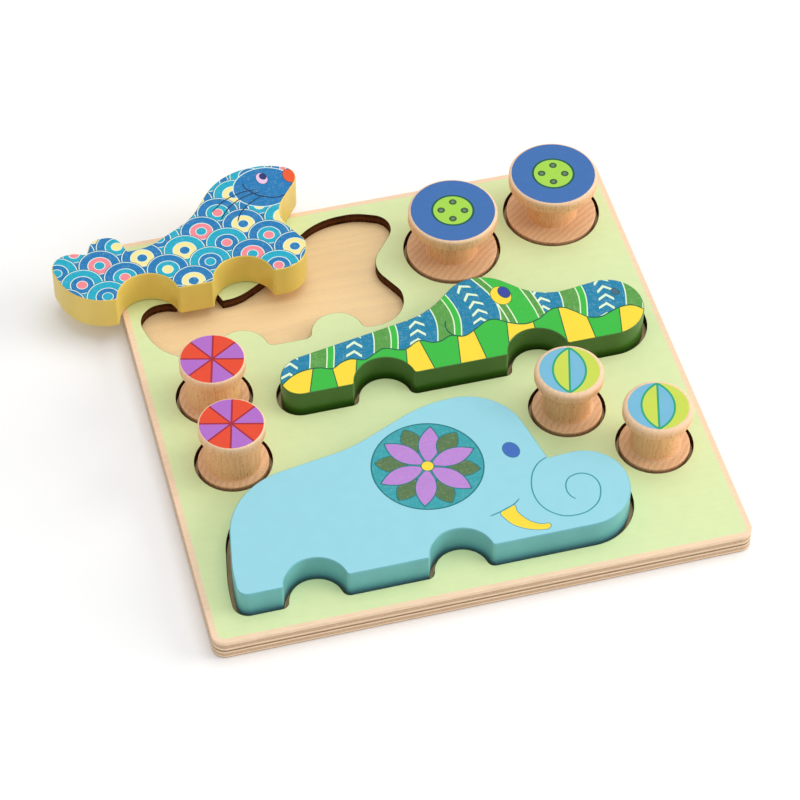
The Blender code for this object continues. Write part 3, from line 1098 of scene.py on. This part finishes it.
def beech_material(settings):
    """Upright beech: soft rings on the flat faces, streaks and short flecks on the turned ones."""
    net = Finish("beech_wood", settings.beech, 0.5, 0.3)
    flat = net.ramp(net.maths("ABSOLUTE", net.split(net.coordinates["Normal"])[2]), 0.6, 0.97)
    vector = net.vector("SUBTRACT", net.space, BEECH_PITH)
    wood = net.wood(vector, spacing=0.0028, wander=0.0025, fibre=0.0006, pore=0.00027)
    fibres = wood["Fibres"]
    rings = net.times(wood["Rings"], net.maths("MULTIPLY_ADD", flat, 0.3, 0.08))
    # Painted shade: upright faces take the darker turned colour, flat faces the beech colour
    ringed = net.blend(rings, net.blend(flat, settings.turned, settings.beech), settings.ring)
    fibred = net.blend(net.times(net.ramp(fibres, 0.42, 0.74), 0.55), ringed, settings.ring)
    flecks = net.times(wood["Pores"], net.maths("MULTIPLY_ADD", flat, -0.3, 0.55))
    flecked = net.blend(flecks, fibred, settings.pore)
    # Painted highlight: the upper rims grow paler with height, towards the rim colour
    painted_rim_highlight = net.ramp(net.split(net.space)[2], RIM_HIGHLIGHT_FROM, RIM_HIGHLIGHT_TO, 0.0, 0.4)
    tint = net.blend(painted_rim_highlight, flecked, settings.rim)
    roughness = net.ramp(fibres, 0.3, 0.7, 0.42, 0.58)
    return net.done(tint, roughness, net.less(fibres, wood["Pores"]), strength=0.15, distance=0.00006)


def middle_of(node):
    """The middle of a CAD node, seen from above."""
    low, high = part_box(node)
    return (low.x + high.x) / 2, (low.y + high.y) / 2


def build_tray(settings):
    """The two glued sheets."""
    half = TRAY_HIGH.x
    square = [(half, -half), (half, half), (-half, half), (-half, -half)]
    outline = round_corners([(x, y, TRAY_CORNER_RADIUS) for x, y in square])
    openings = []
    for node, place in (ANIMAL_PLACES | {"seal": SEAL_RECESS_PLACE}).items():
        openings.append(moved(round_corners(grow(animal_corners(node), ANIMAL_PLAY)), place))
    for kind, nodes in SPOOLS.items():
        openings += [disc(middle_of(node), SPOOL_SIZES[kind].foot + SPOOL_PLAY, 128) for node in nodes]

    top = tray_top_material(settings)
    char = charred_material(settings)
    birch = birch_material("birch_face", settings.floor, settings.dark_ply, 0.085)
    edge = ply_edge_material("tray_ply_edge", settings, TRAY_LOW, TRAY_HIGH, 0.0)
    profile = edge_profile(TRAY_HIGH.z - TRAY_LOW.z, settings.edge, 3)
    mesh = sawn_plate([outline, *openings], TRAY_LOW.z, profile)
    sheet = add_piece("tray_sheet", mesh, "tray", [top, birch, edge, char])
    stand_for(sheet, "tray_board")

    edge = ply_edge_material("backing_ply_edge", settings, BACKING_LOW, BACKING_HIGH, 1.0)
    profile = edge_profile(BACKING_HIGH.z - BACKING_LOW.z, settings.edge, 3)
    mesh = sawn_plate([outline], BACKING_LOW.z, profile)
    backing = add_piece("backing_sheet", mesh, "tray", [birch, birch, edge])
    stand_for(backing, "backing_board")


def inked(artwork, picture, settings):
    """The patches of a picture with the materials of the inks that they name."""
    inks = {}
    for ink, (setting, *values) in INKS[picture].items():
        inks[ink] = ink_material(f"{picture}_ink_{ink}", getattr(settings, setting), *values)
    return [(patch, inks[ink]) for patch, ink in artwork]


def build_animal(node, artwork, scene):
    """One sawn animal and the printed film on its top, with the artwork on a blue ground."""
    settings = getattr(scene, "inset_puzzle_" + node)
    film = scene.inset_puzzle_spools.film
    place = ANIMAL_PLACES[node]
    low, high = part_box(node)
    side = paint_material(node + "_paint", settings.side)
    outline = moved(round_corners(animal_corners(node)), place)
    mesh = sawn_plate([outline], low.z, edge_profile(high.z - low.z - film, settings.edge))
    plate = add_piece(node + "_sawn", mesh, node, [side, side, side])
    stand_for(plate, node)

    ground = (moved(GROUND, millimetres(place)), "blue")
    patches = inked([ground, *artwork], node, settings)
    mesh, inks = print_film(inset(outline, settings.edge * PRINT_INSET), patches, high.z, film)
    add_piece(node + "_picture", mesh, node, inks)


def rimmed(middle, sizes, line, rim, ink, tilt=0.0, steps=48):
    """An ellipse with a line of another ink round it."""
    wide, high = sizes
    turn = math.radians(tilt)
    outer = ellipse(middle, wide, high, turn, steps)
    inner = ellipse(middle, wide - line, high - line, turn, steps)
    return [(outer, rim), (inner, ink)]


def elephant_artwork():
    """An ear of six petals, and the drawn lines of the face and trunk."""
    artwork = rimmed(ELEPHANT_EAR, (26.0, 25.7), 0.7, "rim", "ear", steps=96)
    for i in range(6):
        heading = math.radians(72 + 60 * i)
        between = heading + math.radians(30)
        artwork += [
            (leaf(ELEPHANT_EAR, between, 8.6, 24.6, 4.9), "rim"),
            (leaf(ELEPHANT_EAR, between, 9.6, 23.9, 4.4), "leaf"),
            (leaf(ELEPHANT_EAR, heading, 1.2, 24.2, 5.1), "rim"),
            (leaf(ELEPHANT_EAR, heading, 2.0, 23.2, 4.6), "petal"),
        ]
    artwork += rimmed(ELEPHANT_EAR, (3.2, 3.2), 0.5, "rim", "centre")
    artwork += rimmed(ELEPHANT_EYE, (3.9, 4.9), 0.3, "rim", "eye", 14)
    tusk = smooth_path(ELEPHANT_TUSK, 6, closed=True)[::-1]
    artwork += [(tusk, "line"), (inset(tusk, 0.38), "tusk")]
    artwork += [(stroke(line, 0.65), "line") for line in (ELEPHANT_MOUTH, ELEPHANT_TRUNK)]
    return artwork


def crocodile_back():
    """Slanting bands, with rows of chevrons between them."""

    def bend(x):
        return [(x, -6.0), (x + 6.0, 12.0), (x + 9.0, 27.0), (x + 6.0, 42.0), (x - 2.0, 58.0)]

    artwork = []
    for i in range(CROCODILE_BANDS):
        x = FIRST_BAND + BAND_PITCH * i
        for start, width, ink in ((x, 12.2, "mint"), (x + 0.6, 7.6, "leaf"), (x + 8.8, 2.8, "bright")):
            near = smooth_path(bend(start), 6)
            far = [(px + width, py) for px, py in near]
            artwork.append((far + near[::-1], ink))
        middle = smooth_path(bend(x + 21.6))
        for before, point, after in zip(middle[::3], middle[1::3], middle[2::3]):
            artwork.append((chevron(point, bearing(before, after)), "mint"))
    return artwork


def crocodile_face():
    """The brow's bands, the eye and the nostril."""
    x, y = CROCODILE_EYE
    brow = [(x + 8.5, y - 30.0), (x + 7.5, y - 12.0), (x + 3.0, y + 6.0), (x - 6.0, y + 24.0)]
    bands = ((18.6, "mint"), (17.2, "leaf"), (11.6, "mint"), (10.4, "bright"))
    artwork = [(stroke(brow, width), ink) for width, ink in bands]
    artwork += rimmed((x, y), (5.0, 6.3), 0.3, "line", "yellow", 12)
    artwork += rimmed((x + 2.0, y + 1.7), (2.9, 4.0), 0.3, "line", "pupil", 12)
    artwork += rimmed(CROCODILE_NOSTRIL, (2.1, 2.4), 0.4, "line", "nostril", 10, 32)
    return artwork


def crocodile_belly():
    """A belly of two colours in stripes, under a wavy line."""
    edge = smooth_path(CROCODILE_BELLY_EDGE, 6)
    lowered = [(x, y - 26.0) for x, y in edge]
    raised = [(x, y + 0.75) for x, y in edge]
    artwork = [(lowered + raised[::-1], "line"), (lowered + edge[::-1], "yellow")]
    base = millimetres(ANIMAL_PLACES["crocodile"])[1]

    def edge_height(x):
        for before, after in zip(edge, edge[1:]):
            if before[0] <= x <= after[0]:
                return before[1] + (after[1] - before[1]) * (x - before[0]) / (after[0] - before[0])
        return edge[0][1] if x < edge[0][0] else edge[-1][1]

    def parting(foot, head):
        """The line between two stripes, from below the animal up to the belly's edge."""
        slope = (head - foot) / STRIPE_HEIGHT
        height = 0.0
        while base + height <= edge_height(foot + slope * height):
            height += STRIPE_STEP
        top = foot + slope * height
        return (foot - slope * 4.0, base - 4.0), (top, edge_height(top))

    lines = [parting(foot, head) for foot, head in CROCODILE_STRIPES]
    for left, right in zip(lines[::2], lines[1::2]):
        top = [point for point in reversed(edge) if left[1][0] < point[0] < right[1][0]]
        artwork.append(([left[0], right[0], right[1], *top, left[1]], "belly"))
    return artwork + [(bar(start, end, 0.5), "line") for start, end in lines]


def crocodile_artwork():
    """The back, the face and the belly, and the line at the corner of the mouth."""
    mouth = (stroke(CROCODILE_MOUTH_CORNER, 0.75), "line")
    return crocodile_back() + crocodile_face() + crocodile_belly() + [mouth]


def seal_artwork(radius):
    """Rows of round waves, and a plain blue cheek with the eye, nose, mouth and whiskers."""
    artwork = []
    for row in range(SEAL_WAVE_ROWS):
        y = SEAL_FIRST_WAVE[1] - radius * row
        for column in range(SEAL_WAVE_COLUMNS):
            x = SEAL_FIRST_WAVE[0] + 2 * radius * column + radius * (row % 2)
            outer, inner, core = SEAL_WAVES[(column * 3 + row * 2) % len(SEAL_WAVES)]
            rings = (
                (radius, 40, "shade"),
                (radius - 0.35, 40, "foam"),
                (radius - 0.8, 40, outer),
                (radius * 0.56, 32, "foam"),
                (radius * 0.56 - 0.45, 32, inner),
                (radius * 0.27, 24, "foam"),
                (radius * 0.27 - 0.4, 24, core),
            )
            artwork += [(disc((x, y), size, steps), ink) for size, steps, ink in rings]
    artwork += rimmed(SEAL_CHEEK, (15.6, 13.6), 0.5, "foam", "blue", steps=64)
    artwork += rimmed(SEAL_EYE, (3.0, 4.2), 0.3, "line", "eye", 8)
    artwork.append((ellipse(SEAL_PUPIL, 1.8, 2.3, math.radians(8), 32), "pupil"))
    artwork += rimmed(SEAL_NOSE, (3.5, 5.0), 0.3, "line", "nose", 8)
    artwork.append((stroke(SEAL_MOUTH, 0.7), "line"))
    return artwork + [(stroke(whisker, 0.65), "line") for whisker in SEAL_WHISKERS]


def button_artwork(middle):
    """A blue button with a lime middle and four holes."""
    discs = ((BEYOND, "blue"), (10.5, "line"), (9.45, "lime"))
    artwork = [(disc(middle, radius, 64), ink) for radius, ink in discs]
    for i in range(4):
        hole = offset(middle, BUTTON_HEADING + math.pi / 2 * i, 5.65)
        artwork += [(disc(hole, 1.9, 32), "hole"), (disc(hole, 0.95, 24), "thread")]
    return artwork


def pinwheel_artwork(middle):
    """Eight sectors in two colours, parted by dark lines."""
    ends = [offset(middle, PINWHEEL_HEADING + math.pi / 4 * i, BEYOND) for i in range(8)]
    artwork = [(disc(middle, BEYOND, 64), "red")]
    artwork += [([middle, first, last], "purple") for first, last in zip(ends[::2], ends[1::2])]
    artwork += [(bar(far, near, 0.9), "line") for near, far in zip(ends, ends[4:])]
    return artwork


def lens_artwork(middle):
    """A lens across the disc, with its two halves and the field round it in swapped colours."""

    def at(along, side):
        return offset(middle, LENS_HEADING, along, -side)

    def half_lens(side, reach, width):
        radius = (reach * reach + width * width) / (2 * width)
        sweep = math.asin(reach / radius)
        points = []
        for i in range(-12, 13):
            turn = sweep * i / 12
            points.append(at(radius * math.sin(turn), side * (radius * math.cos(turn) - radius + width)))
        return points if side > 0 else points[::-1]

    return [
        (disc(middle, BEYOND, 64), "sky"),
        ([at(-BEYOND, 0), at(-BEYOND, BEYOND), at(BEYOND, BEYOND), at(BEYOND, 0)], "lime"),
        (half_lens(1, 14.4, 8.1) + half_lens(-1, 14.4, 8.1), "line"),
        (half_lens(1, 13.1, 7.15), "sky"),
        (half_lens(-1, 13.1, 7.15), "lime"),
        (bar(at(-13.8, 0), at(13.8, 0), 0.95), "line"),
    ]


def build_spools(kind, artwork, settings):
    """The two turned spools of a kind, each with a printed film on its top."""
    sizes = SPOOL_SIZES[kind]
    beech = bpy.data.materials.get("beech_wood") or beech_material(settings)
    for node in SPOOLS[kind]:
        low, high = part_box(node)
        place = middle_of(node)
        height = high.z - low.z - settings.film
        upper = height - SPOOL_FLANGE
        corners = [
            (0.0, height, 0.0),
            (sizes.head, height, sizes.rim),
            (sizes.head, upper, sizes.bead),
            (sizes.core, upper, sizes.fillet),
            (sizes.core, SPOOL_FLANGE, sizes.fillet),
            (sizes.foot, SPOOL_FLANGE, FOOT_LIP),
            (sizes.foot, 0.0, sizes.rim),
            (0.0, 0.0, 0.0),
        ]
        mesh = turned(round_corners(corners), place, low.z, settings.steps)
        spool = add_piece(node + "_turned", mesh, node, [beech])
        stand_for(spool, node)
        patches = inked(artwork(millimetres(place)), kind, settings)
        mesh, inks = print_film(disc(place, sizes.picture, 96), patches, high.z, settings.film)
        add_piece(node + "_picture", mesh, node, inks)


def aim(made, target, direction, distance, roll=0.0):
    """Sets an object some way off a target and points it there."""
    made.location = Vector(target) + direction * distance
    made.rotation_mode = "QUATERNION"
    made.rotation_quaternion = (-direction).to_track_quat("-Z", "Y") @ Quaternion((0.0, 0.0, 1.0), roll)


def add_lamp(name, watts, size, direction):
    """A round soft lamp that shines at the tray's middle."""
    data = bpy.data.lights.new(name, "AREA")
    data.shape = "DISK"
    data.size = size
    data.energy = watts
    aim(add_object(name, data), (0.0, 0.0, 0.0), Vector(direction).normalized(), LAMP_DISTANCE)


def build_stage(settings):
    """Camera at the photograph's angle, two soft lamps at the right, an even sky and a pale floor."""
    scene = bpy.context.scene
    scene.view_settings.view_transform = "Standard"
    x, y = offset((0.0, 0.0), settings.azimuth - math.pi / 2, math.cos(settings.elevation))
    data = bpy.data.cameras.new("camera")
    data.lens = settings.lens
    data.sensor_width = CAMERA_SENSOR
    scene.camera = add_object("camera", data)
    direction = Vector((x, y, math.sin(settings.elevation)))
    aim(scene.camera, CAMERA_AIM, direction, settings.distance, CAMERA_ROLL)

    add_lamp("high_lamp", settings.key, *HIGH_LAMP)
    add_lamp("low_lamp", settings.side, *LOW_LAMP)

    scene.world = bpy.data.worlds.new("pale_room")
    scene.world.use_nodes = True
    scene.world.node_tree.nodes.clear()
    net = Net(scene.world.node_tree)
    path = net.add("ShaderNodeLightPath")
    seen = net.maths("MAXIMUM", path["Is Camera Ray"], path["Is Glossy Ray"])
    seen = net.maths("MAXIMUM", seen, path["Is Transmission Ray"])
    strength = net.add("ShaderNodeMix", {0: seen, 2: settings.sky, 3: 1.0}, data_type="FLOAT")[0]
    background = net.add("ShaderNodeBackground", {"Color": WHITE, "Strength": strength})[0]
    net.add("ShaderNodeOutputWorld", {"Surface": background})

    net = Finish("pale_floor", settings.floor, 0.9, 0.0)
    path = net.add("ShaderNodeLightPath")
    # Painted light: the floor glows for the camera only, faintly near the tray and more strongly farther out
    glow = net.ramp(net.reach(net.space), *FLOOR_GLOW)
    net.feed(net.shader["Emission Strength"], net.times(path["Is Camera Ray"], glow))
    net.shader["Emission Color"].default_value = WHITE
    mesh = bmesh.new()
    bmesh.ops.create_grid(mesh, x_segments=1, y_segments=1, size=FLOOR_REACH)
    floor = add_mesh("floor", mesh, [net.material])
    floor.location = (0.0, 0.0, -FLOOR_DROP)


class BuildTray(bpy.types.Operator):
    """Build the two plywood sheets of the tray"""

    bl_idname = "inset_puzzle.tray"
    bl_label = "Tray"

    def execute(self, context):
        build_tray(context.scene.inset_puzzle_tray)
        return {"FINISHED"}


class BuildElephant(bpy.types.Operator):
    """Build the elephant and its printed top"""

    bl_idname = "inset_puzzle.elephant"
    bl_label = "Elephant"

    def execute(self, context):
        build_animal("elephant", elephant_artwork(), context.scene)
        return {"FINISHED"}


class BuildCrocodile(bpy.types.Operator):
    """Build the crocodile and its printed top"""

    bl_idname = "inset_puzzle.crocodile"
    bl_label = "Crocodile"

    def execute(self, context):
        build_animal("crocodile", crocodile_artwork(), context.scene)
        return {"FINISHED"}


class BuildSeal(bpy.types.Operator):
    """Build the seal and its printed top"""

    bl_idname = "inset_puzzle.seal"
    bl_label = "Seal"

    def execute(self, context):
        wave = context.scene.inset_puzzle_seal.wave * 1000
        build_animal("seal", seal_artwork(wave), context.scene)
        return {"FINISHED"}


class BuildButtonSpools(bpy.types.Operator):
    """Turn the two large spools with buttons on top"""

    bl_idname = "inset_puzzle.button_spools"
    bl_label = "Button Spools"

    def execute(self, context):
        build_spools("button", button_artwork, context.scene.inset_puzzle_spools)
        return {"FINISHED"}


class BuildPinwheelSpools(bpy.types.Operator):
    """Turn the two small spools with pinwheels on top"""

    bl_idname = "inset_puzzle.pinwheel_spools"
    bl_label = "Pinwheel Spools"

    def execute(self, context):
        build_spools("pinwheel", pinwheel_artwork, context.scene.inset_puzzle_spools)
        return {"FINISHED"}


class BuildLensSpools(bpy.types.Operator):
    """Turn the two small spools with lenses on top"""

    bl_idname = "inset_puzzle.lens_spools"
    bl_label = "Lens Spools"

    def execute(self, context):
        build_spools("lens", lens_artwork, context.scene.inset_puzzle_spools)
        return {"FINISHED"}


class BuildStage(bpy.types.Operator):
    """Set up the camera, the lamps, the sky and the floor"""

    bl_idname = "inset_puzzle.stage"
    bl_label = "Stage"

    def execute(self, context):
        build_stage(context.scene.inset_puzzle_stage)
        return {"FINISHED"}


BUILDERS = (
    BuildTray,
    BuildElephant,
    BuildCrocodile,
    BuildSeal,
    BuildButtonSpools,
    BuildPinwheelSpools,
    BuildLensSpools,
    BuildStage,
)


class InsetPuzzlePanel(bpy.types.Panel):
    """The steps that build the puzzle"""

    bl_idname = "VIEW3D_PT_inset_puzzle"
    bl_label = "Inset Puzzle"
    bl_space_type = "VIEW_3D"
    bl_region_type = "UI"
    bl_category = "Inset Puzzle"

    def draw(self, context):
        for name in SETTINGS:
            settings = getattr(context.scene, name)
            box = self.layout.box()
            box.label(text=name.replace("inset_puzzle_", "").title())
            for setting in settings.bl_rna.properties.keys():
                if setting not in ("rna_type", "name"):
                    box.prop(settings, setting)
        for builder in BUILDERS:
            self.layout.operator(builder.bl_idname)


def register():
    for name, group in SETTINGS.items():
        bpy.utils.register_class(group)
        setattr(bpy.types.Scene, name, PointerProperty(type=group))
    for builder in (*BUILDERS, InsetPuzzlePanel):
        bpy.utils.register_class(builder)


def unregister():
    for builder in (InsetPuzzlePanel, *reversed(BUILDERS)):
        bpy.utils.unregister_class(builder)
    for name, group in reversed(SETTINGS.items()):
        delattr(bpy.types.Scene, name)
        bpy.utils.unregister_class(group)


def main():
    register()
    steps = bpy.ops.inset_puzzle
    steps.tray()
    steps.elephant()
    steps.crocodile()
    steps.seal()
    steps.button_spools()
    steps.pinwheel_spools()
    steps.lens_spools()
    steps.stage()


if __name__ == "__main__":
    main()
